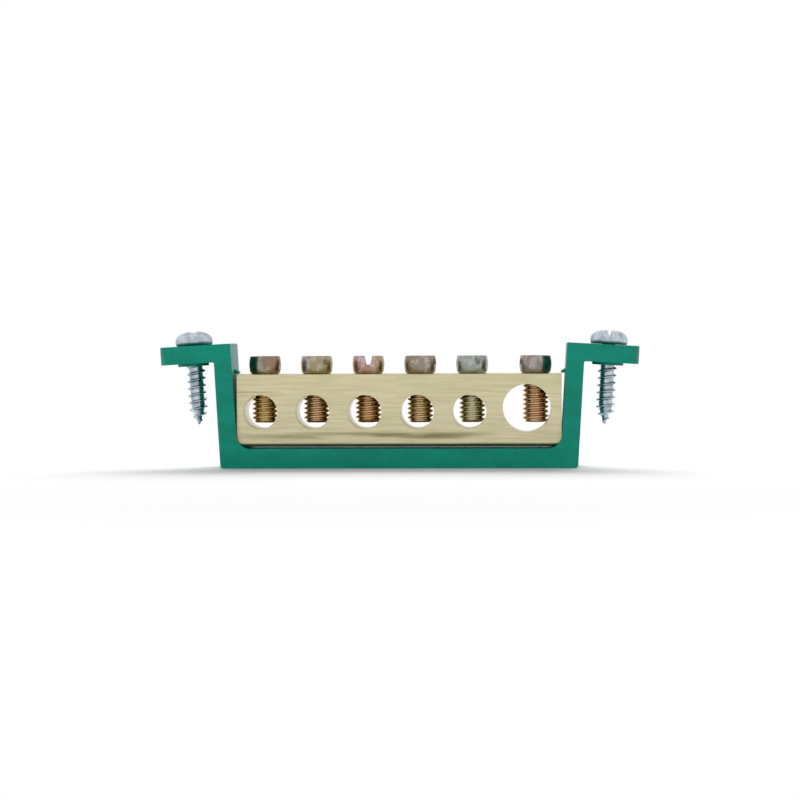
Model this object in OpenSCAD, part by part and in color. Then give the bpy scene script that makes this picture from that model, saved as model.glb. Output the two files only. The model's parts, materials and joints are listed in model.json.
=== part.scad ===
// Earth terminal bar in its snap-in cradle.
//
// A brass bar with six cross-drilled wire holes lies in a one-piece plastic cradle. Each
// hole has its own clamping screw, driven down through the bar's top face. The cradle is
// hat-shaped: a floor, two walls that splay outward, and an ear at right angles to each
// wall, which a self-tapping screw fixes to whatever carries the bar.
//
// Frame: X along the bar, Y across it with the front at -Y, Z up. The origin is the middle
// of the cradle's underside. All lengths are in millimetres and all angles in degrees.

/* [Brass bar] */
// Bar thickness, front to back
bar_w = 8; // [7:0.1:11]
// Bar height
bar_h = 11.1; // [10.4:0.1:14]
// Rounding of the bar's long edges
bar_edge_r = 0.6; // [0.2:0.05:0.9]
// Rounding of the bar's two lower end corners
bar_corner_r = 1.7; // [0.8:0.1:2.2]
// Bar's left end to the first wire hole's axis
left_margin = 3.6; // [3.3:0.1:8]
// Spacing of the small wire holes
hole_pitch = 8; // [7:0.1:12]
// Last small wire hole's axis to the large one's
last_pitch = 8.8; // [8:0.1:14]
// Large wire hole's axis to the bar's right end
right_margin = 5.3; // [4.8:0.1:10]

/* [Wire holes] */
// Diameter of the small wire holes
small_d = 5.2; // [4.2:0.1:6]
// Diameter of the large wire hole
large_d = 7.4; // [6:0.1:7.8]
// Height of the small wire holes' axes above the bar's underside
small_hole_z = 5.3; // [4.2:0.1:6]
// Height of the large wire hole's axis above the bar's underside
large_hole_z = 5.8; // [4.9:0.1:6.2]
// Offset of a clamping screw to the right of its small hole's axis
small_shift = 0.4; // [0:0.05:0.6]
// Offset of the clamping screw to the right of the large hole's axis
large_shift = 1.35; // [0:0.05:1.6]

/* [Clamping screws] */
// Outside diameter of the clamping screw's thread
clamp_thread_d = 3.95; // [3:0.05:4.2]
// Pitch of the clamping screw's thread
clamp_pitch = 0.7; // [0.5:0.05:0.8]
// Diameter of the barrel-shaped head at its widest
clamp_head_d = 4.95; // [4.8:0.05:6]
// Height of the barrel-shaped head
clamp_head_h = 2.75; // [2:0.05:4]
// Width of the screwdriver slot at the top of a clamping screw
clamp_slot_w = 1.15; // [0.8:0.05:1.3]
// Depth of the screwdriver slot in a clamping screw
clamp_slot_depth = 1.35; // [0.8:0.05:1.5]
// Room between a screw's tip and the floor of its wire hole with the head seated
tip_gap = 0.9; // [0.4:0.05:2]
// Radial clearance between a clamping screw and the bar
thread_clear = 0.05; // [0.03:0.01:0.1]
// Gap between a seated head and the bar's top face
seat_gap = 0.02; // [0.01:0.01:0.1]

/* [Cradle] */
// How far the bar's front and back faces stay inside the cradle
bar_inset = 1; // [0.3:0.1:3]
// Floor thickness
floor_t = 3; // [1.5:0.1:4]
// Wall thickness
wall_t = 2.7; // [1.5:0.1:3.5]
// Outward splay of each wall from the vertical
splay = 3.3; // [1:0.1:6]
// Height of the bar's underside above the floor, where the corner fillets carry it
seat_lift = 0.3; // [0.3:0.05:1.2]
// Gap between the bar's end and the wall, at the top of the bar's corner rounding
end_gap = 0.05; // [0.04:0.01:0.2]
// Height of the walls above the bar's top face
wall_rise = 4.75; // [4:0.05:8]
// Rounding of the cradle's outer lower corners
base_corner_r = 0.5; // [0.2:0.05:1.5]

/* [Ears] */
// Ear length beyond the wall's outer face
ear_len = 8.35; // [7.2:0.05:12]
// Ear thickness
ear_t = 2.75; // [1.5:0.05:3]
// Rounding of the ear's end, seen from above
ear_end_r = 2; // [0.5:0.1:4.2]
// Wall's outer face to the mounting hole's axis
ear_hole_out = 3.75; // [3.4:0.05:4.2]
// Diameter of the mounting hole through the ear
ear_hole_d = 3.6; // [3.4:0.05:4.2]
// Diameter of the round boss under the ear
boss_d = 4.8; // [4.6:0.1:6.5]
// Height of the round boss under the ear
boss_h = 0.4; // [0.1:0.05:1]

/* [Retaining nibs] */
// Nib height along the wall
nib_h = 0.75; // [0.4:0.05:1.5]
// Nib width, front to back
nib_w = 2; // [1:0.1:5]
// How far a nib reaches over the bar's end
nib_catch = 0.05; // [0.02:0.01:0.3]
// Gap between a nib and the bar's top face
nib_gap = 0.05; // [0.03:0.01:0.2]

/* [Mounting screws] */
// Outside diameter of the tapping thread
tap_thread_d = 2.9; // [2.6:0.05:3.2]
// Diameter of the tapping screw's core
tap_core_d = 2.1; // [1.8:0.05:2.3]
// Pitch of the tapping thread
tap_pitch = 1.1; // [0.9:0.05:1.3]
// Length of the tapping screw under its head
tap_len = 12.2; // [9:0.1:16]
// Diameter of the pan head
tap_head_d = 5.8; // [5.2:0.1:6.5]
// Height of the pan head
tap_head_h = 2.2; // [1.8:0.1:2.8]
// Width of the screwdriver slot at the top of the pan head
tap_slot_w = 0.9; // [0.6:0.05:1.1]
// Depth of the screwdriver slot in the pan head
tap_slot_depth = 1.1; // [0.7:0.05:1.2]
// Gap between the pan head and the ear, and between the thread and its hole's side
tap_rest_gap = 0.03; // [0.01:0.01:0.1]

/* [Hidden] */

// Colours
plastic_green = [0.02, 0.47, 0.38];
brass = [0.78, 0.73, 0.57];
yellow_zinc = [0.60, 0.55, 0.46];
clear_zinc = [0.70, 0.73, 0.77];

$fn = 64;
overlap = 0.5;        // how far a joined form runs into its neighbour, or a cutter past a face
arc_steps = 8;        // straight steps in each rounded corner of an outline

// Wire holes: the small ones are numbered from 0 at the left, and the large one is the last.
small_count = 5;
hole_count = small_count + 1;
bar_len = left_margin + (small_count - 1) * hole_pitch + last_pitch + right_margin;
function is_large(i) = i == small_count;
function hole_x(i) = -bar_len / 2 + left_margin
    + min(i, small_count - 1) * hole_pitch + (is_large(i) ? last_pitch : 0);
function hole_d(i) = is_large(i) ? large_d : small_d;
function hole_z(i) = bar_z + (is_large(i) ? large_hole_z : small_hole_z);
function screw_x(i) = hole_x(i) + (is_large(i) ? large_shift : small_shift);

// Bar and cradle in elevation
bar_z = floor_t + seat_lift;
bar_top_z = bar_z + bar_h;
cradle_w = bar_w + 2 * bar_inset;
cradle_h = bar_top_z + wall_rise;
// Half the width between the walls, where their inner faces meet the plane z = 0
wall_foot_x = bar_len / 2 + end_gap - (bar_z + bar_corner_r) * tan(splay);
// Distance from that foot to the ear's top face, along the wall
wall_len = cradle_h / cos(splay);

// The bar's rounded corners rest in the cradle's inner fillets with half the end gap left
// between them. With the fillet's centre at one radius from the floor and from the wall,
// that contact is a quadratic in the fillet's radius, and its larger root is the seat.
seat_clear = end_gap / 2;
seat_side = bar_len / 2 - bar_corner_r - wall_foot_x - floor_t * tan(splay);
seat_slope = 1 / cos(splay) - tan(splay);
seat_rise = seat_lift + bar_corner_r;
seat_reach = bar_corner_r + seat_clear;
seat_b = seat_side * seat_slope - seat_rise + seat_reach;
seat_c = pow(seat_side, 2) + pow(seat_rise, 2) - pow(seat_reach, 2);
seat_root = sqrt(max(0, pow(seat_b, 2) - pow(seat_slope, 2) * seat_c));
seat_fillet_r = (seat_root - seat_b) / pow(seat_slope, 2);

// Small roundings of the cradle's section
ear_root_r = 0.25;    // hollow corner between wall and ear
ear_edge_r = 0.2;     // ear's end, top and bottom
wall_top_r = 0.25;    // where the wall's inner face turns into the ear's top

// Clamping screws
clamp_depth = 0.614 * clamp_pitch;            // thread depth of an ISO metric screw
clamp_core_r = clamp_thread_d / 2 - clamp_depth;
clamp_crest_w = clamp_pitch / 8;
clamp_tip_r = clamp_core_r - 0.05;
clamp_chamfer = 0.45;                         // length of the tip's chamfer
hole_floor_z = max(small_hole_z - small_d / 2, large_hole_z - large_d / 2);
clamp_len = bar_h - hole_floor_z - tip_gap;   // under the head
clamp_neck_r = 0.83 * clamp_head_d / 2;       // head's foot
clamp_rim_r = 0.94 * clamp_head_d / 2;        // ends of the barrel
clamp_foot_h = 0.3;
clamp_rim_h = 0.2;
// Turn of each clamping screw about its axis
clamp_turn = [62, 38, 4, 71, 22, 112];

// Mounting screws
tap_crest_w = 0.1;
tap_tip_r = 0.12;
tap_point_len = 2.6;                          // core's cone
tap_crest_len = 1.9;                          // thread's own taper at the point
tap_neck_r = 0.91 * tap_head_d / 2;
tap_wide_z = 0.3 * tap_head_h;                // height of the head's widest ring
// Room for a mounting screw to stand off its hole's axis, and the share of it that the left
// and the right screw take up towards their walls
tap_play = (ear_hole_d - tap_thread_d) / 2 - tap_rest_gap;
tap_lean = [1, 0];
// Turn of the left and the right screw about their axes
tap_turn = [96, 3];

// ---- Outlines -------------------------------------------------------------------------

function unit(v) = v / norm(v);

// The corner at b between a and c, rounded to radius r in arc_steps straight steps
function rounded_corner(a, b, c, r) =
    let (
        u = unit(a - b),
        v = unit(c - b),
        half = acos(u * v) / 2,
        centre = b + unit(u + v) * r / sin(half),
        from = b + u * r / tan(half) - centre,
        to = b + v * r / tan(half) - centre,
        sweep = 180 - 2 * half
    )
    r == 0 ? [b] : [
        for (i = [0:arc_steps])
            centre + (from * sin(sweep * (1 - i / arc_steps)) + to * sin(sweep * i / arc_steps))
            / sin(sweep)
    ];

// A closed outline through corners given as [x, y, radius]
function rounded_outline(corners) =
    let (n = len(corners), at = [for (p = corners) [p.x, p.y]])
    [
        for (i = [0:n - 1])
            each rounded_corner(at[(i + n - 1) % n], at[i], at[(i + 1) % n], corners[i].z)
    ];

// ---- Threads --------------------------------------------------------------------------

// A screw shank along +Z from its tip at z = 0, as one helical strip. The strip has four
// points in each pitch: two on the core and two on the crest. The thread's height grows
// from nothing over the first half turn and dies away over the last, and a ring closes
// each end. point gives the tip's radius and the lengths of the core's and crest's tapers.
module threaded_shank(thread_r, core_r, pitch, crest_w, length, point, seg) {
    start = 0.1 * pitch;
    plain_top = 0.25 * pitch;
    turns = floor((length - start - plain_top) / pitch) - 1;
    last = seg * turns;
    flank = (thread_r - core_r) * tan(30);
    land = pitch - crest_w - 2 * flank;
    along = [0, land, land + flank, land + flank + crest_w];
    on_crest = [0, 0, 1, 1];
    m = len(along);

    function core_at(z) = point[0] + (core_r - point[0]) * min(1, z / point[1]);
    function crest_at(z) = point[0] + (thread_r - point[0]) * min(1, z / point[2]);
    function growth(k) = min(1, 2 * k / seg, 2 * (last - k) / seg);
    function ring_point(k, z, r) = [r * cos(360 * k / seg), r * sin(360 * k / seg), z];
    function strip_point(k, q) =
        let (z = start + pitch * k / seg + along[q], core = core_at(z))
        ring_point(k, z, core + on_crest[q] * max(0, growth(k)) * (crest_at(z) - core));

    strip = [for (k = [0:last], q = [0:m - 1]) strip_point(k, q)];
    upper = [for (k = [last + 1:last + seg]) strip_point(k, 0)];
    bottom = [for (k = [0:seg - 1]) ring_point(k, 0, point[0])];
    top = [for (k = [0:seg - 1]) ring_point(k, length, core_r)];

    // Index of point q in row k. Point m of a row is point 0 one turn further on.
    function at(k, q) =
        q == m ? at(k + seg, 0) : k <= last ? k * m + q : len(strip) + k - last - 1;
    function low(k) = len(strip) + len(upper) + k % seg;
    function high(k) = len(strip) + len(upper) + seg + k % seg;

    polyhedron(
        points = concat(strip, upper, bottom, top),
        faces = [
            for (k = [0:last - 1], q = [0:m - 1]) each [
                [at(k, q), at(k, q + 1), at(k + 1, q + 1)],
                [at(k, q), at(k + 1, q + 1), at(k + 1, q)],
            ],
            // from the tip's ring to the first turn's lower edge
            for (k = [0:seg - 2]) each [
                [low(k), at(k, 0), at(k + 1, 0)],
                [low(k), at(k + 1, 0), low(k + 1)],
            ],
            [low(seg - 1), at(seg - 1, 0), at(seg, 0)],
            for (q = [m - 1:-1:0]) [low(seg - 1), at(0, q + 1), at(0, q)],
            [low(seg - 1), at(0, 0), low(0)],
            // from the last turn's upper edge to the ring under the head
            for (k = [1:seg - 1]) each [
                [at(last + k, 0), high(k), high(k + 1)],
                [at(last + k, 0), high(k + 1), at(last + k + 1, 0)],
            ],
            for (q = [0:m - 1]) [at(last + 1, 0), at(last, q), at(last, q + 1)],
            [at(last + 1, 0), at(last, m), high(0)],
            [at(last + 1, 0), high(0), high(1)],
            [for (k = [0:seg - 1]) low(k)],
            [for (k = [seg - 1:-1:0]) high(k)],
        ]
    );
}

// ---- Screwdriver recess ---------------------------------------------------------------

// A cutter for a slot right across a head of radius r, with a shorter slot across it. Both
// narrow towards the bottom. The head's top is at z = 0.
module combined_recess(r, slot_w, depth) {
    cross_half = 0.6 * r;
    bottom_w = 0.5 * slot_w;
    for (wing = [[r + overlap, depth, 0], [cross_half, 1.15 * depth, 90]])
        rotate([0, 0, wing[2]]) rotate([90, 0, 90])
            linear_extrude(height = 2 * wing[0], center = true)
                polygon([
                    [-slot_w / 2 - overlap, overlap], [-slot_w / 2, 0],
                    [-bottom_w / 2, -wing[1]], [bottom_w / 2, -wing[1]],
                    [slot_w / 2, 0], [slot_w / 2 + overlap, overlap],
                ]);
}

// ---- Clamping screw -------------------------------------------------------------------

// Half section of the barrel-shaped head, with its foot at z = 0
function barrel_section() = let (
        bulge = clamp_head_d / 2 - clamp_rim_r,
        side_h = clamp_head_h - clamp_foot_h - clamp_rim_h
    ) [
        [0, 0],
        [clamp_neck_r, 0],
        for (i = [0:arc_steps])
            [
                clamp_rim_r + bulge * sin(180 * i / arc_steps),
                clamp_foot_h + side_h * i / arc_steps
            ],
        [clamp_rim_r - clamp_rim_h, clamp_head_h],
        [0, clamp_head_h],
    ];

// One clamping screw with its head's foot at z = 0 and its axis on Z
module clamping_screw() {
    difference() {
        rotate_extrude() polygon(barrel_section());
        translate([0, 0, clamp_head_h])
            combined_recess(clamp_head_d / 2, clamp_slot_w, clamp_slot_depth);
    }
    translate([0, 0, -clamp_len])
        threaded_shank(
            thread_r = clamp_thread_d / 2, core_r = clamp_core_r, pitch = clamp_pitch,
            crest_w = clamp_crest_w, length = clamp_len + overlap,
            point = [clamp_tip_r, 0.1, clamp_chamfer], seg = 18
        );
}

// Clamping screw i, seated on the bar's top face over wire hole i
module terminal_screw(i) {
    color(yellow_zinc)
        translate([screw_x(i), 0, bar_top_z + seat_gap]) rotate([0, 0, clamp_turn[i]])
            clamping_screw();
}

// ---- Mounting screw -------------------------------------------------------------------

// Half section of the pan head, with its underside at z = 0
function pan_section() = [
    [0, 0],
    [tap_neck_r, 0],
    for (i = [1:arc_steps])
        [
            tap_neck_r + (tap_head_d / 2 - tap_neck_r) * sin(90 * i / arc_steps),
            tap_wide_z * (1 - cos(90 * i / arc_steps))
        ],
    for (i = [1:arc_steps])
        [
            tap_head_d / 2 * pow(cos(90 * i / arc_steps), 0.75),
            tap_wide_z + (tap_head_h - tap_wide_z) * sin(90 * i / arc_steps)
        ],
];

// One self-tapping screw with its head's underside at z = 0 and its axis on Z
module tapping_screw() {
    difference() {
        rotate_extrude() polygon(pan_section());
        translate([0, 0, tap_head_h])
            combined_recess(tap_head_d / 2, tap_slot_w, tap_slot_depth);
    }
    translate([0, 0, -tap_len])
        threaded_shank(
            thread_r = tap_thread_d / 2, core_r = tap_core_d / 2, pitch = tap_pitch,
            crest_w = tap_crest_w, length = tap_len + overlap,
            point = [tap_tip_r, tap_point_len, tap_crest_len], seg = 20
        );
}

// Places its children in an ear's frame, turned with the ear but never mirrored. The
// origin is where the mounting hole's axis meets the ear's top face, and +Z leaves the
// ear. side is 1 for the right ear and -1 for the left one.
module on_ear(side) {
    translate([side * wall_foot_x, 0, 0]) rotate([0, side * splay, 0])
        translate([side * (wall_t + ear_hole_out), 0, wall_len])
            children();
}

// Mounting screw hanging in the hole of one ear
module mounting_screw(side) {
    i = side < 0 ? 0 : 1;
    color(clear_zinc)
        on_ear(side) translate([-side * tap_lean[i] * tap_play, 0, tap_rest_gap])
            rotate([0, 0, tap_turn[i]])
                tapping_screw();
}

// ---- Brass bar ------------------------------------------------------------------------

module bar_blank() {
    half = bar_len / 2;
    intersection() {
        rotate([90, 0, 0])
            linear_extrude(height = bar_w, center = true)
                polygon(rounded_outline([
                    [-half, bar_z, bar_corner_r], [half, bar_z, bar_corner_r],
                    [half, bar_top_z, 0], [-half, bar_top_z, 0],
                ]));
        rotate([90, 0, 90])
            linear_extrude(height = bar_len + overlap, center = true)
                polygon(rounded_outline([
                    [-bar_w / 2, bar_z, bar_edge_r], [bar_w / 2, bar_z, bar_edge_r],
                    [bar_w / 2, bar_top_z, bar_edge_r], [-bar_w / 2, bar_top_z, bar_edge_r],
                ]));
    }
}

// The bar with its wire holes, and a bore from the top face down past each screw's tip
module brass_bar() {
    tip_z = bar_top_z + seat_gap - clamp_len;
    color(brass)
        difference() {
            bar_blank();
            for (i = [0:hole_count - 1]) {
                translate([hole_x(i), 0, hole_z(i)]) rotate([90, 0, 0])
                    cylinder(d = hole_d(i), h = bar_w + 2 * overlap, center = true);
                translate([screw_x(i), 0, tip_z - thread_clear])
                    cylinder(r = clamp_thread_d / 2 + thread_clear, h = clamp_len + overlap);
            }
        }
}

// ---- Cradle ---------------------------------------------------------------------------

// A point at distance out from the right wall's inner face and up along it
function from_wall(out, up) = [
    wall_foot_x + out * cos(splay) + up * sin(splay),
    up * cos(splay) - out * sin(splay)
];

function corner(at, r) = [at.x, at.y, r];

// The cradle's right half, from the outer lower corner round to the inner one
right_half = [
    [wall_foot_x + wall_t / cos(splay), 0, base_corner_r],
    corner(from_wall(wall_t, wall_len - ear_t), ear_root_r),
    corner(from_wall(wall_t + ear_len, wall_len - ear_t), ear_edge_r),
    corner(from_wall(wall_t + ear_len, wall_len), ear_edge_r),
    corner(from_wall(0, wall_len), wall_top_r),
    [wall_foot_x + floor_t * tan(splay), floor_t, seat_fillet_r],
];

function mirrored(corners) =
    [for (i = [len(corners) - 1:-1:0]) [-corners[i].x, corners[i].y, corners[i].z]];

// What is left over outside a rounded corner of the ear's end, seen from above
module ear_corner_waste() {
    difference() {
        square(ear_end_r + overlap);
        circle(r = ear_end_r);
    }
}

// A snap nib on the right wall's inner face, flat below and sloping above
module nib() {
    nib_z = (bar_top_z + nib_gap) / cos(splay);
    reach = (wall_foot_x + nib_z * sin(splay)) - (bar_len / 2 - nib_catch);
    translate([wall_foot_x, 0, 0]) rotate([0, splay, 0]) rotate([90, 0, 0])
        linear_extrude(height = nib_w, center = true)
            polygon([
                [overlap, nib_z], [-reach, nib_z], [-reach, nib_z + 0.4 * nib_h],
                [0, nib_z + nib_h], [overlap, nib_z + nib_h],
            ]);
}

module cradle() {
    color(plastic_green) {
        difference() {
            union() {
                rotate([90, 0, 0])
                    linear_extrude(height = cradle_w, center = true)
                        polygon(rounded_outline(concat(right_half, mirrored(right_half))));
                for (side = [-1, 1])
                    on_ear(side) translate([0, 0, -ear_t - boss_h])
                        cylinder(d = boss_d, h = boss_h + overlap);
            }
            for (side = [-1, 1]) on_ear(side) {
                translate([0, 0, -ear_t - boss_h - overlap])
                    cylinder(d = ear_hole_d, h = ear_t + boss_h + 2 * overlap);
                for (end = [-1, 1])
                    translate([
                        side * (ear_len - ear_hole_out - ear_end_r),
                        end * (cradle_w / 2 - ear_end_r),
                        -ear_t - overlap
                    ])
                        scale([side, end, 1])
                            linear_extrude(height = ear_t + 2 * overlap) ear_corner_waste();
            }
        }
        nib();
        mirror([1, 0, 0]) nib();
    }
}

// ---- Nodes ----------------------------------------------------------------------------

cradle();
brass_bar();
terminal_screw(0);  // terminal_screw_1
terminal_screw(1);  // terminal_screw_2
terminal_screw(2);  // terminal_screw_3
terminal_screw(3);  // terminal_screw_4
terminal_screw(4);  // terminal_screw_5
terminal_screw(5);  // terminal_screw_6
mounting_screw(-1);  // mounting_screw_left
mounting_screw(1);  // mounting_screw_right
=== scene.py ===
import json
import math

import bmesh
import bpy
import numpy as np
from mathutils import Matrix, Vector


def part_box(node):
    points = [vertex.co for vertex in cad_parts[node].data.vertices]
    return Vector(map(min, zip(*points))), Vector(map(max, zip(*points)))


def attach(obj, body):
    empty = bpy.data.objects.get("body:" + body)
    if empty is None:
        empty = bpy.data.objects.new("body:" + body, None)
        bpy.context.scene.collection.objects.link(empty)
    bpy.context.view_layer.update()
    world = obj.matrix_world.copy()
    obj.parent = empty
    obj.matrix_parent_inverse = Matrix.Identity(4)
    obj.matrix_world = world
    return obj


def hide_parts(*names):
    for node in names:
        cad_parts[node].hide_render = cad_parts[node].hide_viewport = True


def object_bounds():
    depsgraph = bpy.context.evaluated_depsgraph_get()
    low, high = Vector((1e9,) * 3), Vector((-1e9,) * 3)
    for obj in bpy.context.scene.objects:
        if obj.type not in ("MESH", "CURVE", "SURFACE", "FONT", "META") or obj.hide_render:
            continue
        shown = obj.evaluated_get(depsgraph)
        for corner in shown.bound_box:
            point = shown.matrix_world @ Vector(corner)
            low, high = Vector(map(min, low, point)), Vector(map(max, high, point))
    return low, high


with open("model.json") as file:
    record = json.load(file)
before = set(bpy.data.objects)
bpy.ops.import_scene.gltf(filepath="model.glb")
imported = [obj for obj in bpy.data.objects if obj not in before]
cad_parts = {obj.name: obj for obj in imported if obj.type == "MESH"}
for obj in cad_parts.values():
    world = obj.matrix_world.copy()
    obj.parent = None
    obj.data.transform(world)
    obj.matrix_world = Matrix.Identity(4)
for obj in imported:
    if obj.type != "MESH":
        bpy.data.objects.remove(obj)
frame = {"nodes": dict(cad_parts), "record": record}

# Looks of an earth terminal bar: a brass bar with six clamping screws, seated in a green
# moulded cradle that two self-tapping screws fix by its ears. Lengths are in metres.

MM = 0.001
TURN = 2 * math.pi
ROOT_BODY = "bar_and_cradle"
SCREW_COUNT = 6

# Flat steps round a screw's head
HEAD_STEPS = 120
# Half length of a recess's cross arm, as a share of its head's radius
CROSS_REACH = 0.6
# Points of a mesh that lie closer than this are one
MERGE_DISTANCE = 1e-7
# Edges sharper than this stay sharp where a screw is shaded smooth
SHARP_ANGLE = math.radians(40)

# The model's own box, before anything is dressed
cad_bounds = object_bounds()


# ---- Shader maths ---------------------------------------------------------------------

class Value:
    """A shader socket. Arithmetic on it adds Math nodes, so a material reads as formulas."""

    def __init__(self, graph, node, out):
        self.graph = graph
        self.made = node
        self.out = out

    @property
    def socket(self):
        """The node's output that this value stands for."""
        return self.made.outputs[self.out]

    def output(self, name):
        """Another output of the same node."""
        return Value(self.graph, self.made, name)

    def math(self, operation, *terms):
        """One Math node on these terms, in their order."""
        settings = {"operation": operation}
        return self.graph.node("ShaderNodeMath", settings, dict(enumerate(terms)))

    def __add__(self, other):
        return self.math("ADD", self, other)

    def __radd__(self, other):
        return self.math("ADD", other, self)

    def __sub__(self, other):
        return self.math("SUBTRACT", self, other)

    def __rsub__(self, other):
        return self.math("SUBTRACT", other, self)

    def __mul__(self, other):
        return self.math("MULTIPLY", self, other)

    def __rmul__(self, other):
        return self.math("MULTIPLY", other, self)

    def __abs__(self):
        return self.math("ABSOLUTE", self)


class Graph:
    """The nodes of one material or of the world."""

    def __init__(self, tree):
        tree.nodes.clear()
        self.tree = tree

    def node(self, kind, settings=None, values=None, out=0):
        """Adds a node: its settings first, then the values or links of its sockets."""
        made = self.tree.nodes.new(kind)
        for name, setting in (settings or {}).items():
            setattr(made, name, setting)
        for name, value in (values or {}).items():
            if isinstance(value, Value):
                self.tree.links.new(value.socket, made.inputs[name])
            else:
                made.inputs[name].default_value = value
        return Value(self, made, out)

    def mix(self, low, high, share):
        """A colour that goes from low to high as share goes from 0 to 1."""
        return self.node(
            "ShaderNodeMix", {"data_type": "RGBA"}, {0: share, 6: low, 7: high}, 2
        )

    def between(self, value, low, high):
        """0 below low and 1 above high, with a smooth rise between them."""
        settings = {"interpolation_type": "SMOOTHSTEP"}
        return self.node("ShaderNodeMapRange", settings, {0: value, 1: low, 2: high})

    def place(self):
        """The point on the surface, in the object's own metres."""
        return self.node("ShaderNodeTexCoord", out="Object")

    def parts(self, vector):
        """The X, Y and Z parts of a vector."""
        split = self.node("ShaderNodeSeparateXYZ", values={0: vector})
        return [split.output(i) for i in range(3)]

    def stretched(self, where, x, y, z):
        """Coordinates multiplied along each axis. A small factor makes a pattern long."""
        settings = {"operation": "MULTIPLY"}
        return self.node("ShaderNodeVectorMath", settings, {0: where, 1: (x, y, z)})

    def noise(self, where, scale, detail=2.0, out="Fac"):
        """Cloudy noise with about scale lumps to the metre."""
        values = {"Vector": where, "Scale": scale, "Detail": detail}
        return self.node("ShaderNodeTexNoise", values=values, out=out)

    def bump(self, height, strength, distance):
        """A normal tilted by a height in units of distance."""
        values = {"Height": height, "Strength": strength, "Distance": distance}
        return self.node("ShaderNodeBump", values=values, out="Normal")


def display(red, green, blue):
    """A colour given as it shows on a screen, 0 to 255, as linear light."""
    shown = np.array([red, green, blue]) / 255
    linear = np.where(shown <= 0.04045, shown / 12.92, ((shown + 0.055) / 1.055) ** 2.4)
    return (*linear.tolist(), 1.0)


def material(name, recipe, *details):
    """A material whose surface shader is what recipe(graph, *details) returns."""
    made = bpy.data.materials.new(name)
    made.use_nodes = True
    graph = Graph(made.node_tree)
    surface = recipe(graph, *details)
    graph.node("ShaderNodeOutputMaterial", values={"Surface": surface})
    return made


# ---- Finishes -------------------------------------------------------------------------

def green_plastic(graph):
    """Moulded nylon: deep green with faint flow marks, a fine skin and a soft gloss."""
    where = graph.place()
    flow = graph.noise(graph.stretched(where, 0.25, 1, 1), 420, 3)
    mottle = graph.noise(where, 1500, 2)
    skin = graph.noise(where, 6500, 2)
    tone = graph.between(flow * 0.7 + mottle * 0.3, 0.3, 0.7)
    values = {
        "Base Color": graph.mix(display(0, 112, 93), display(2, 128, 108), tone),
        "Roughness": graph.between(skin, 0.2, 0.8) * 0.10 + 0.32,
        "Specular IOR Level": 0.2,
        "Normal": graph.bump(skin, 0.12, 0.02 * MM),
    }
    return graph.node("ShaderNodeBsdfPrincipled", values=values)


def drawn_brass(graph, low, high):
    """Drawn brass bar: streaks along its length, a dull band low down and a die scratch."""
    where = graph.place()
    x, _, z = graph.parts(where)
    tall = high.z - low.z
    fine = graph.noise(graph.stretched(where, 0.03, 1, 1), 9000, 3)
    broad = graph.noise(graph.stretched(where, 0.06, 1, 1), 2200, 3)
    cloud = graph.noise(graph.stretched(where, 0.5, 1, 1), 260, 3)
    streak = graph.between(fine * 0.45 + broad * 0.55, 0.33, 0.67)
    metal = graph.mix(display(195, 185, 148), display(216, 207, 173), streak)
    metal = graph.mix(metal, display(199, 194, 154), graph.between(cloud, 0.5, 0.75))
    # a dull band a little above the bottom edge, strongest left of the middle
    band_z = low.z + 0.15 * tall
    strongest_x = -4 * MM
    band = 1 - graph.between(abs(z - band_z), 0.15 * MM, 0.75 * MM)
    patchy = graph.between(graph.noise(graph.stretched(where, 0.12, 1, 1), 700, 2), 0.35, 0.6)
    near = 1 - graph.between(abs(x - strongest_x), 9 * MM, 22 * MM)
    band = band * patchy * (near * 0.7 + 0.2)
    metal = graph.mix(metal, display(132, 124, 84), band)
    # the drawing die's scratch, on the bar's left end only
    scratch_z = low.z + 0.755 * tall
    scratch = 1 - graph.between(abs(z - scratch_z), 0.03 * MM, 0.12 * MM)
    scratch = scratch * (1 - graph.between(x, low.x + 4 * MM, low.x + 8 * MM))
    metal = graph.mix(metal, display(142, 118, 84), scratch * 0.7)
    values = {
        "Base Color": metal,
        "Metallic": 1.0,
        "Roughness": streak * 0.08 + band * 0.1 + 0.33,
        "Normal": graph.bump(fine * 0.6 + broad * 0.4, 0.25, 0.02 * MM),
    }
    return graph.node("ShaderNodeBsdfPrincipled", values=values)


def chromated_zinc(graph, axis, head_left_tint_and_shade, head_right_tint_and_shade, sheen, shank, foot_z):
    """Yellow chromated zinc: each screw's own tints, with oily bands and small dark pits; the
    head's two halves differ by painted shade and reflection.
    """
    where = graph.place()
    x, _, z = graph.parts(where)
    # painted shade and reflection: the head's left half takes one tint and its right half
    # another, with a wandering border
    wander = graph.noise(where, 600, 3) - 0.5
    side = graph.between(x - axis.x + wander * (3 * MM), -1.2 * MM, 1.2 * MM)
    head = graph.mix(head_left_tint_and_shade, head_right_tint_and_shade, side)
    oily = graph.noise(graph.stretched(where, 1, 1, 0.7), 900, 3)
    head = graph.mix(head, sheen, graph.between(oily, 0.48, 0.62))
    thread = graph.mix(shank, sheen, graph.between(oily, 0.55, 0.75) * 0.5)
    metal = graph.mix(thread, head, graph.between(z, foot_z - 0.2 * MM, foot_z))
    grit = graph.noise(where, 4200, 3)
    pits = graph.between(graph.noise(where, 2600, 2), 0.66, 0.74)
    metal = graph.mix(metal, display(70, 58, 46), pits * 0.7)
    values = {
        "Base Color": metal,
        "Metallic": 1.0,
        "Roughness": graph.between(grit, 0.3, 0.7) * 0.12 + 0.2,
        "Normal": graph.bump(grit, 0.12, 0.02 * MM),
    }
    return graph.node("ShaderNodeBsdfPrincipled", values=values)


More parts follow.
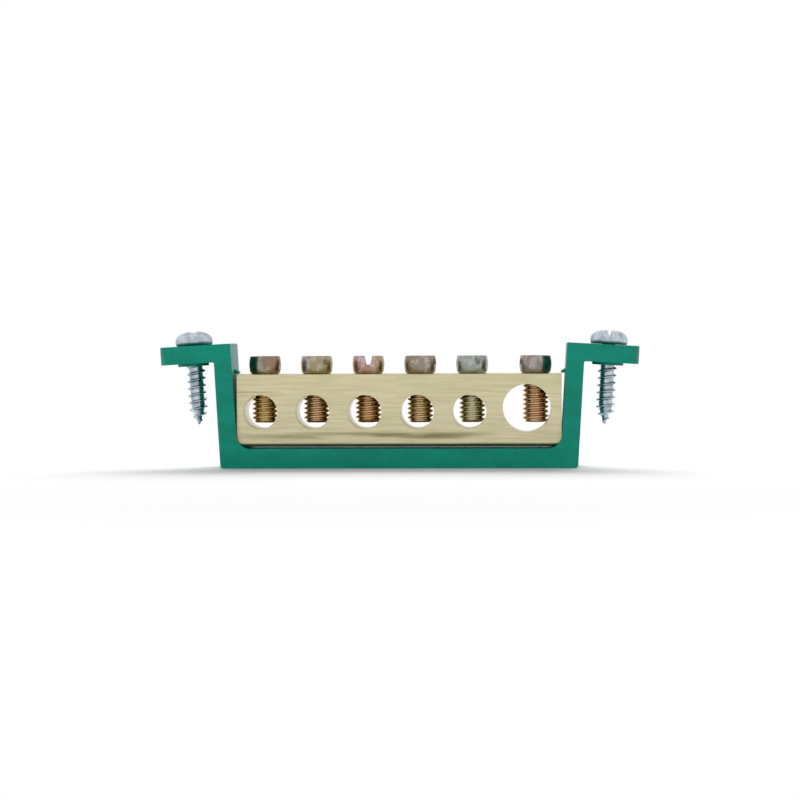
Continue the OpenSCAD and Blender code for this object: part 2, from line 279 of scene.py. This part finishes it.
def bright_zinc(graph):
    """Clear zinc: blue-grey and fairly bright, clouded in patches, with a fine grain."""
    where = graph.place()
    cloud = graph.noise(where, 700, 3)
    grit = graph.noise(where, 5000, 3)
    metal = graph.mix(
        display(150, 163, 174), display(196, 206, 214), graph.between(cloud, 0.35, 0.65)
    )
    metal = graph.mix(metal, display(178, 170, 188), graph.between(cloud, 0.6, 0.75) * 0.6)
    values = {
        "Base Color": metal,
        "Metallic": 1.0,
        "Roughness": graph.between(grit, 0.3, 0.7) * 0.12 + 0.2,
        "Normal": graph.bump(grit, 0.25, 0.02 * MM),
    }
    return graph.node("ShaderNodeBsdfPrincipled", values=values)


# ---- Surfaces -------------------------------------------------------------------------

def closed_piece(name, points):
    """A closed mesh from a grid of points, rows by columns by 3.

    Neighbours in the grid are joined by four-sided faces. Points that fall on one place, at
    a seam or a pole, are merged, and the faces are turned to point outwards.
    """
    rows, columns = points.shape[:2]
    index = np.arange(rows * columns).reshape(rows, columns)
    faces = np.stack(
        [index[:-1, :-1], index[:-1, 1:], index[1:, 1:], index[1:, :-1]], axis=-1
    )
    mesh = bpy.data.meshes.new(name)
    mesh.from_pydata(points.reshape(-1, 3).tolist(), [], faces.reshape(-1, 4).tolist())
    shell = bmesh.new()
    shell.from_mesh(mesh)
    bmesh.ops.remove_doubles(shell, verts=shell.verts, dist=MERGE_DISTANCE)
    bmesh.ops.recalc_face_normals(shell, faces=shell.faces)
    shell.to_mesh(mesh)
    shell.free()
    piece = bpy.data.objects.new(name, mesh)
    bpy.context.scene.collection.objects.link(piece)
    return piece


def revolved(profile, steps):
    """A surface of revolution: each (radius, height) of the profile turned about Z.

    Its point at angle a is (radius cos a, radius sin a, height).
    """
    radius, height = np.asarray(profile, float).T[:, :, None]
    angle = np.linspace(0, TURN, steps + 1)[None, :]
    level = np.broadcast_to(height, (len(profile), steps + 1))
    return np.stack([radius * np.cos(angle), radius * np.sin(angle), level], axis=-1)


def threaded(thread_r, core_r, pitch, crest, length, tip_r, core_taper, crest_taper, first):
    """A screw's shank from its tip at z = 0, as a grid sheared along the thread.

    Line j lies at first + pitch (j / lines + a / turn - 1.5) at angle a, held between the
    tip and the top, so each line runs along the helix and the grid meets itself one turn on.
    Crests are half a pitch from whole turns of j, so first is the height of the lowest crest
    at angle 0. The radius is the core's plus the ridge, a trapezoid in the line's own phase
    with softened corners. The ridge dies away under the head, and core and crest narrow to
    the tip.
    """
    lines = 16              # to each pitch
    steps = 72              # to each turn
    early = 1.5             # pitches that the grid starts below the first crest
    soft = 0.45             # how much of the ridge is rounded, 0 to 1
    half_angle = math.radians(30)
    turns = math.ceil(length / pitch) + 2
    angle = np.linspace(0, TURN, steps + 1)[None, :]
    line = np.arange(turns * lines + 1)[:, None]
    rise = first + pitch * (line / lines + angle / TURN - early)
    height = np.clip(rise, 0, length)
    flank = (thread_r - core_r) * math.tan(half_angle)
    off_crest = np.abs(line / lines % 1 - 0.5) * pitch
    ridge = np.clip(1 - (off_crest - crest / 2) / flank, 0, 1)
    ridge = (1 - soft) * ridge + soft * ridge**2 * (3 - 2 * ridge)
    ridge = ridge * np.clip((length - height) / pitch, 0, 1)
    core = tip_r + (core_r - tip_r) * np.clip(height / core_taper, 0, 1)
    top = tip_r + (thread_r - tip_r) * np.clip(height / crest_taper, 0, 1)
    radius = core + ridge * (np.maximum(top, core) - core)
    pole = np.zeros((1, steps + 1))
    radius = np.vstack([pole, radius, pole])
    height = np.vstack([pole, height, pole + length])
    around = np.broadcast_to(angle, radius.shape)
    return np.stack([radius * np.cos(around), radius * np.sin(around), height], axis=-1)


def slot_cutter(reach, width, bottom, depth, across):
    """A closed bar with a tapering section, for cutting a screwdriver slot.

    The section goes down one side, across the bottom and up the other, with its top edges
    flared outwards along a small arc. It is carried along X, or along Y if across is set,
    from -reach to reach, and closed at both ends. Its top stands above the head.
    """
    flare = 0.1 * MM
    above = 1 * MM
    bend = np.linspace(0, math.pi / 2, 6)
    side = np.stack(
        [width / 2 + flare * (1 - np.cos(bend[::-1])), flare * (np.sin(bend[::-1]) - 1)], 1
    )
    side = np.vstack([[width / 2 + flare, above], side, [bottom / 2, -depth]])
    section = np.vstack([side, side[::-1] * [-1, 1], side[:1]])
    ends = np.array([-reach, -reach, reach, reach])[:, None]
    shrink = np.array([0, 1, 1, 0])[:, None]
    middle = section.mean(0)
    sideways = middle[0] + (section[None, :, 0] - middle[0]) * shrink
    up = middle[1] + (section[None, :, 1] - middle[1]) * shrink
    along = np.broadcast_to(ends, sideways.shape)
    order = [sideways, along, up] if across else [along, sideways, up]
    return np.stack(order, axis=-1)


# ---- Putting pieces together ----------------------------------------------------------

def moved(points, transform):
    """Points turned and shifted by a 4 by 4 matrix."""
    matrix = np.array(transform)
    return points @ matrix[:3, :3].T + matrix[:3, 3]


def cut_away(piece, cutters):
    """Takes the cutters' forms out of piece, and removes the cutters."""
    for cutter in cutters:
        step = piece.modifiers.new("cut", "BOOLEAN")
        step.operation = "DIFFERENCE"
        step.solver = "EXACT"
        step.object = cutter
    shapes = bpy.context.evaluated_depsgraph_get()
    result = bpy.data.meshes.new_from_object(piece.evaluated_get(shapes))
    piece.modifiers.clear()
    piece.data = result
    for cutter in cutters:
        bpy.data.objects.remove(cutter)


def joined(name, pieces):
    """One piece made of several closed shells, smooth but for its edges over 40 degrees."""
    shell = bmesh.new()
    for piece in pieces:
        shell.from_mesh(piece.data)
    mesh = bpy.data.meshes.new(name)
    shell.to_mesh(mesh)
    shell.free()
    for piece in pieces:
        bpy.data.objects.remove(piece)
    mesh.polygons.foreach_set("use_smooth", np.ones(len(mesh.polygons), bool))
    mesh.set_sharp_from_angle(angle=SHARP_ANGLE)
    whole = bpy.data.objects.new(name, mesh)
    bpy.context.scene.collection.objects.link(whole)
    return whole


def dress(piece, finish, body, node):
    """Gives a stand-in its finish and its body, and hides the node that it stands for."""
    piece.data.materials.clear()
    piece.data.materials.append(finish)
    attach(piece, body)
    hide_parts(node)


def finish_node(node, finish):
    """Gives a node of the model its finish."""
    for holder in frame["nodes"][node].material_slots:
        holder.material = finish


# ---- Clamping screws ------------------------------------------------------------------

CLAMP_PITCH = 0.7 * MM
CLAMP_THREAD_R = 1.975 * MM
CLAMP_THREAD_DEPTH = 0.614 * CLAMP_PITCH
CLAMP_CORE_R = CLAMP_THREAD_R - CLAMP_THREAD_DEPTH
CLAMP_CREST = CLAMP_PITCH / 5
CLAMP_TIP_R = CLAMP_CORE_R - 0.05 * MM
# Heights above the tip at which core and crest have their full radius
CLAMP_CORE_TAPER = 0.1 * MM
CLAMP_CREST_TAPER = 0.45 * MM
# Height of the lowest crest above the tip
CLAMP_FIRST = 0.683 * CLAMP_PITCH
CLAMP_HEAD_H = 2.75 * MM
# Recess: width at the top and at the floor, depths of slot and cross arm
CLAMP_SLOT_W = 1.15 * MM
CLAMP_FLOOR_W = 0.58 * MM
CLAMP_SLOT_DEPTH = 1.35 * MM
CLAMP_CROSS_DEPTH = 1.55 * MM
# Turn of each screw about its axis, in degrees
CLAMP_TURN = [62, 38, 4, 71, 22, 112]

# Tints of each screw: head's left and right side, which differ by painted shade and
# reflection, oily sheen, shank
CLAMP_TINTS_AND_SIDE_SHADE = [
    [
        display(126, 120, 108), display(146, 120, 100),
        display(158, 150, 136), display(216, 192, 142),
    ],
    [
        display(152, 142, 100), display(158, 146, 108),
        display(178, 164, 172), display(212, 186, 154),
    ],
    [
        display(166, 130, 118), display(164, 144, 114),
        display(188, 170, 174), display(216, 182, 142),
    ],
    [
        display(140, 128, 112), display(150, 136, 122),
        display(176, 168, 156), display(212, 192, 154),
    ],
    [
        display(150, 154, 148), display(142, 148, 138),
        display(172, 178, 174), display(214, 208, 180),
    ],
    [
        display(142, 132, 124), display(136, 128, 120),
        display(172, 164, 160), display(212, 180, 148),
    ],
]


def barrel_profile(head_r, head_h):
    """Half section of a barrel head: foot, chamfer, a bulging side and a softened rim."""
    foot_h = 0.3 * MM
    foot_r = 0.83 * head_r
    rim = 0.2 * MM
    rim_r = 0.94 * head_r
    swell = np.linspace(0, math.pi, 21)
    side_h = head_h - foot_h - rim
    side = np.stack(
        [rim_r + (head_r - rim_r) * np.sin(swell), foot_h + side_h * swell / math.pi], 1
    )
    bend = np.linspace(0, math.pi / 2, 7)[1:]
    edge = np.stack(
        [rim_r - rim + rim * np.cos(bend), head_h - rim + rim * np.sin(bend)], 1
    )
    return np.vstack([[0, 0], [foot_r, 0], side, edge, [0, head_h]])


def clamping_screw(number):
    """Screw of one terminal: barrel head with a combined recess, and an M4 thread."""
    node = f"terminal_screw_{number}"
    low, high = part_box(node)
    axis = (low + high) / 2
    head_r = (high.x - low.x) / 2
    foot_z = high.z - CLAMP_HEAD_H
    length = foot_z - low.z
    turn = Matrix.Rotation(math.radians(CLAMP_TURN[number - 1]), 4, "Z")
    at_head = Matrix.Translation((axis.x, axis.y, foot_z)) @ turn
    at_top = Matrix.Translation((axis.x, axis.y, high.z)) @ turn
    at_tip = Matrix.Translation((axis.x, axis.y, low.z)) @ turn

    barrel = revolved(barrel_profile(head_r, CLAMP_HEAD_H), HEAD_STEPS)
    head = closed_piece("head", moved(barrel, at_head))
    slot = slot_cutter(head_r + MM, CLAMP_SLOT_W, CLAMP_FLOOR_W, CLAMP_SLOT_DEPTH, True)
    cross = slot_cutter(
        CROSS_REACH * head_r, CLAMP_SLOT_W, CLAMP_FLOOR_W, CLAMP_CROSS_DEPTH, False
    )
    cutters = [closed_piece("cutter", moved(form, at_top)) for form in (slot, cross)]
    cut_away(head, cutters)
    shank = closed_piece("shank", moved(threaded(
        CLAMP_THREAD_R, CLAMP_CORE_R, CLAMP_PITCH, CLAMP_CREST, length,
        CLAMP_TIP_R, CLAMP_CORE_TAPER, CLAMP_CREST_TAPER, CLAMP_FIRST
    ), at_tip))
    screw = joined(f"clamping_screw_{number}", [head, shank])
    tints_and_side_shade = CLAMP_TINTS_AND_SIDE_SHADE[number - 1]
    finish = material(f"chromated_zinc_{number}", chromated_zinc, axis, *tints_and_side_shade, foot_z)
    dress(screw, finish, f"clamp_screw_{number}", node)


# ---- Mounting screws ------------------------------------------------------------------

TAP_LENGTH = 12.2 * MM
TAP_PITCH = 1.1 * MM
TAP_THREAD_R = 1.45 * MM
TAP_CORE_R = 1.05 * MM
TAP_CREST = 0.1 * MM
TAP_TIP_R = 0.12 * MM
# Heights above the tip at which core and crest have their full radius
TAP_CORE_TAPER = 2.6 * MM
TAP_CREST_TAPER = 1.9 * MM
# Height of the lowest crest above the tip
TAP_FIRST = 0.85 * MM
TAP_HEAD_R = 2.9 * MM
TAP_HEAD_H = 2.2 * MM
# Recess: width at the top and at the floor, depths of slot and cross arm
TAP_SLOT_W = 0.9 * MM
TAP_FLOOR_W = 0.45 * MM
TAP_SLOT_DEPTH = 1.1 * MM
TAP_CROSS_DEPTH = 1.27 * MM
# Turn of each screw about its axis, in degrees
TAP_TURN = {"left": 96, "right": 3}


def pan_profile(head_r, head_h):
    """Half section of a pan head: a neck that swells to the widest ring, then a dome."""
    neck_r = 0.91 * head_r
    wide_z = 0.3 * head_h
    fullness = 0.75         # below 1, the dome's side stands fuller than an ellipse's
    bend = np.linspace(0, math.pi / 2, 15)
    neck = np.stack(
        [neck_r + (head_r - neck_r) * np.sin(bend), wide_z * (1 - np.cos(bend))], 1
    )
    dome = np.stack(
        [head_r * np.cos(bend) ** fullness, wide_z + (head_h - wide_z) * np.sin(bend)], 1
    )
    return np.vstack([[0, 0], neck, dome[1:-1], [0, head_h]])


def mounting_screw(side, finish):
    """Self-tapping screw that hangs in the hole of one ear, tilted with the ear."""
    node = f"mounting_screw_{side}"
    mount = next(m for m in frame["record"]["mounts"] if m["name"] == node)
    low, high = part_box(node)
    down = Vector(mount["axis"]).normalized()
    up = -down if down.z < 0 else down
    # the screw's axis goes through its mount, and its lowest point is the tip's
    on_axis = Vector(mount["pos_m"])
    tip = on_axis + up * ((low.z - on_axis.z) / up.z)
    turn = Matrix.Rotation(math.radians(TAP_TURN[side]), 4, "Z")
    lean = Vector((0, 0, 1)).rotation_difference(up).to_matrix().to_4x4()
    at_tip = Matrix.Translation(tip) @ lean @ turn
    at_head = at_tip @ Matrix.Translation((0, 0, TAP_LENGTH))
    at_top = at_head @ Matrix.Translation((0, 0, TAP_HEAD_H))

    pan = revolved(pan_profile(TAP_HEAD_R, TAP_HEAD_H), HEAD_STEPS)
    head = closed_piece("head", moved(pan, at_head))
    slot = slot_cutter(TAP_HEAD_R + MM, TAP_SLOT_W, TAP_FLOOR_W, TAP_SLOT_DEPTH, True)
    cross = slot_cutter(
        CROSS_REACH * TAP_HEAD_R, TAP_SLOT_W, TAP_FLOOR_W, TAP_CROSS_DEPTH, False
    )
    cutters = [closed_piece("cutter", moved(form, at_top)) for form in (slot, cross)]
    cut_away(head, cutters)
    shank = closed_piece("shank", moved(threaded(
        TAP_THREAD_R, TAP_CORE_R, TAP_PITCH, TAP_CREST, TAP_LENGTH,
        TAP_TIP_R, TAP_CORE_TAPER, TAP_CREST_TAPER, TAP_FIRST
    ), at_tip))
    screw = joined(f"self_tapping_screw_{side}", [head, shank])
    dress(screw, finish, ROOT_BODY, node)


# ---- Studio ---------------------------------------------------------------------------

def seen_plainly(graph):
    """1 for rays that show a surface to the camera, straight or in metal or glass, else 0."""
    path = graph.node("ShaderNodeLightPath")
    camera, glossy, through = [
        path.output(f"Is {kind} Ray") for kind in ("Camera", "Glossy", "Transmission")
    ]
    return camera.math("MAXIMUM", camera, glossy.math("MAXIMUM", glossy, through))


def floor_white(graph):
    """White paper, lit where the object's shadow can fall and plain white beyond it."""
    half_wide, half_deep = 75 * MM, 110 * MM        # of the lit ellipse
    paper = graph.node("ShaderNodeBsdfDiffuse", values={"Color": (0.97, 0.97, 0.97, 1)})
    away = graph.node("ShaderNodeVectorMath", {"operation": "LENGTH"}, {
        0: graph.stretched(graph.place(), 1 / half_wide, 1 / half_deep, 0)
    }, out="Value")
    far = graph.between(away, 0.75, 1.25) * seen_plainly(graph)
    plain = graph.node("ShaderNodeEmission", values={"Color": (1, 1, 1, 1), "Strength": 1.0})
    return graph.node("ShaderNodeMixShader", values={0: far, 1: paper, 2: plain})


def add_floor():
    """A wide white floor at z = 0, on which the base stands."""
    half = 3.0
    mesh = bpy.data.meshes.new("floor")
    corners = [(-half, -half, 0), (half, -half, 0), (half, half, 0), (-half, half, 0)]
    mesh.from_pydata(corners, [], [(0, 1, 2, 3)])
    mesh.materials.append(material("floor_white", floor_white))
    floor = bpy.data.objects.new("floor", mesh)
    bpy.context.scene.collection.objects.link(floor)


def add_world():
    """A white room. What is lit by it gets less from the front, where the room is dimmer."""
    world = bpy.data.worlds.new("studio")
    world.use_nodes = True
    bpy.context.scene.world = world
    graph = Graph(world.node_tree)
    _, y, _ = graph.parts(graph.node("ShaderNodeTexCoord", out="Generated"))
    front_level, rear_level = 0.2, 0.8
    level = graph.between(y, -0.3, 0.6) * (rear_level - front_level) + front_level
    seen = seen_plainly(graph)
    values = {"Color": (1, 1, 1, 1), "Strength": seen + (1 - seen) * level}
    shader = graph.node("ShaderNodeBackground", values=values)
    graph.node("ShaderNodeOutputWorld", values={"Surface": shader})


def add_soft_light(name, at, aim, width, height, watts):
    """A rectangular soft box at one point, turned to face another."""
    lamp = bpy.data.lights.new(name, "AREA")
    lamp.shape = "RECTANGLE"
    lamp.size = width
    lamp.size_y = height
    lamp.energy = watts
    box = bpy.data.objects.new(name, lamp)
    box.location = at
    box.rotation_euler = (Vector(aim) - Vector(at)).to_track_quat("-Z", "Y").to_euler()
    box.visible_camera = False
    box.visible_glossy = False
    bpy.context.scene.collection.objects.link(box)


def add_camera(low, high):
    """A long lens from the front, a little to the right and barely above the bar."""
    azimuth = math.radians(2.665)
    elevation = math.radians(1.363)
    distance = 392.8 * MM
    roll = math.radians(-0.22)
    below_middle = 0.2 * MM
    aim = (low + high) / 2 - Vector((0, 0, below_middle))
    back = Vector((
        math.sin(azimuth) * math.cos(elevation),
        -math.cos(azimuth) * math.cos(elevation),
        math.sin(elevation),
    ))
    lens = bpy.data.cameras.new("camera")
    lens.lens = 114.5
    lens.sensor_width = 36
    lens.clip_start = 0.01
    camera = bpy.data.objects.new("camera", lens)
    facing = (-back).to_track_quat("-Z", "Y").to_matrix().to_4x4()
    camera.matrix_world = (
        Matrix.Translation(aim + back * distance) @ facing @ Matrix.Rotation(roll, 4, "Z")
    )
    bpy.context.scene.collection.objects.link(camera)
    bpy.context.scene.camera = camera


# ---- The whole ------------------------------------------------------------------------

low, high = cad_bounds
middle = (low + high) / 2
add_camera(low, high)
add_world()
add_floor()
add_soft_light("rear", (0.05, 0.40, 0.34), middle, width=0.6, height=0.3, watts=3.1)
add_soft_light("front", (-0.12, -0.60, 0.11), middle, width=0.5, height=0.12, watts=2.3)

finish_node("cradle", material("green_plastic", green_plastic))
finish_node("brass_bar", material("drawn_brass", drawn_brass, *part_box("brass_bar")))
for number in range(1, SCREW_COUNT + 1):
    clamping_screw(number)
zinc = material("bright_zinc", bright_zinc)
for side in ("left", "right"):
    mounting_screw(side, zinc)

bpy.context.scene.view_settings.view_transform = "Standard"
